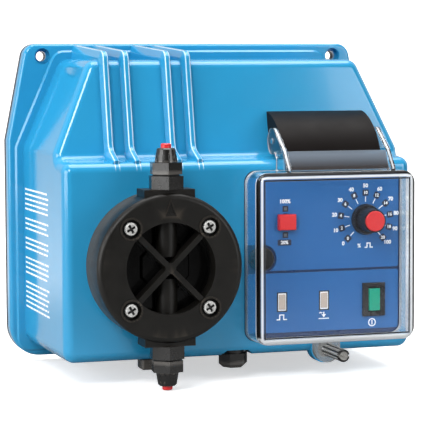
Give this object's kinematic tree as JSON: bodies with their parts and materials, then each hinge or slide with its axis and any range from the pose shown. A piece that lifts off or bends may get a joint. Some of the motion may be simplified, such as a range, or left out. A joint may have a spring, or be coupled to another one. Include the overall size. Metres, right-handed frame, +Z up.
{
  "type": "diaphragm metering pump",
  "caption": "Wall-mounted solenoid diaphragm metering pump: ribbed blue casing, round braced pump head with stacked valves, and a control panel under a hinged clear cover.",
  "frame": {"origin": "midway between the two wall screw holes, on the wall plane", "axes": "+X to the right seen from the front, +Y into the wall, +Z up"},
  "size_m": [0.2464, 0.153, 0.2067],
  "materials": {
    "housing_blue": "glossy moulded sky blue",
    "cover_grey": "matte dark grey back plate",
    "gasket_black": "soft black rubber",
    "screw_steel": "stainless, lightly worn",
    "head_black": "moulded black, satin",
    "ptfe_white": "smooth white fluoropolymer",
    "core_steel": "turned steel",
    "brass": "turned brass",
    "spring_steel": "drawn wire",
    "bobbin_plastic": "natural moulding",
    "coil_copper": "enamelled copper winding",
    "valve_black": "glossy moulded black",
    "ball_white": "polished ceramic white",
    "seal_rubber": "black sealing rubber",
    "plug_red": "red moulded cap",
    "panel_navy": "dark blue moulding",
    "label_blue": "printed blue foil",
    "rocker_black": "glossy black",
    "lens_green": "translucent green lens",
    "slider_red": "red moulded cap",
    "knob_black": "glossy black moulding with grips",
    "led_white": "diffuse lens",
    "board_green": "coated circuit board",
    "clear_cover": "clear polycarbonate",
    "hood_black": "glossy dark brown black",
    "pin_steel": "polished pin"
  },
  "bodies": {
    "pump": {"housing_shell": "housing_blue", "rear_cover": "cover_grey", "casing_gasket": "gasket_black", "casing_screws": "screw_steel", "pump_head": "head_black", "head_backplate": "head_black", "head_screws": "screw_steel", "diaphragm": "ptfe_white", "solenoid_plate": "core_steel", "rod_bush": "brass", "return_spring": "spring_steel", "coil_bobbin": "bobbin_plastic", "solenoid_coil": "coil_copper", "solenoid_yoke": "core_steel", "stroke_stop": "core_steel", "panel_base": "panel_navy", "upper_label": "label_blue", "lower_label": "label_blue", "blanking_cap": "valve_black", "rocker_frame": "rocker_black", "range_switch": "valve_black", "potentiometer": "brass", "pulse_led": "led_white", "level_led": "led_white", "circuit_board": "board_green", "board_screws": "screw_steel", "closure_insert": "core_steel", "hinge_hood": "hood_black", "hinge_pin": "pin_steel", "hood_screws": "screw_steel", "cable_gland": "valve_black", "gland_locknut": "valve_black", "level_connector": "valve_black", "discharge_valve_body": "valve_black", "discharge_seat": "ptfe_white", "discharge_seal": "seal_rubber", "discharge_connector": "valve_black", "discharge_tube_nut": "valve_black", "discharge_plug": "plug_red", "suction_valve_body": "valve_black", "suction_seat": "ptfe_white", "suction_seal": "seal_rubber", "suction_connector": "valve_black", "suction_tube_nut": "valve_black", "suction_plug": "plug_red"},
    "cover": {"cover": "clear_cover"},
    "closure": {"closure_screw": "clear_cover"},
    "knob": {"pot_shaft": "core_steel", "knob_body": "knob_black", "knob_cap": "slider_red"},
    "range_slider": {"range_slider": "slider_red"},
    "power_rocker": {"power_rocker": "lens_green"},
    "stroke": {"armature": "core_steel", "push_rod": "core_steel", "diaphragm_hub": "core_steel"},
    "suction_ball": {"suction_ball": "ball_white"},
    "discharge_ball": {"discharge_ball": "ball_white"}
  },
  "joints": [
    {"name": "cover_hinge", "type": "hinge", "parent": "pump", "child": "cover", "pos_m": [0.0568, -0.1128, -0.0531], "axis": [-1, 0, 0], "range_deg": [0, 110]},
    {"name": "closure_turn", "type": "hinge", "parent": "cover", "child": "closure", "pos_m": [0.0538, -0.14, -0.1821], "axis": [0, 1, 0], "continuous": true},
    {"name": "stroke_knob", "type": "hinge", "parent": "pump", "child": "knob", "pos_m": [0.0807, -0.12, -0.1023], "axis": [0, 1, 0], "range_deg": [0, 270]},
    {"name": "range_slide", "type": "slide", "parent": "pump", "child": "range_slider", "axis": [0, 0, 1], "range_m": [-0.0025, 0.0025]},
    {"name": "power_rock", "type": "hinge", "parent": "pump", "child": "power_rocker", "pos_m": [0.08605, -0.1175, -0.1526], "axis": [1, 0, 0], "range_deg": [-6, 6]},
    {"name": "pump_stroke", "type": "slide", "parent": "pump", "child": "stroke", "axis": [0, -1, 0], "range_m": [0, 0.00125], "stiffness_N_per_m": 4000, "deforming": ["return_spring", "diaphragm"]},
    {"name": "suction_lift", "type": "slide", "parent": "pump", "child": "suction_ball", "axis": [0, 0, 1], "range_m": [0, 0.0015]},
    {"name": "discharge_lift", "type": "slide", "parent": "pump", "child": "discharge_ball", "axis": [0, 0, 1], "range_m": [0, 0.0015]}
  ]
}
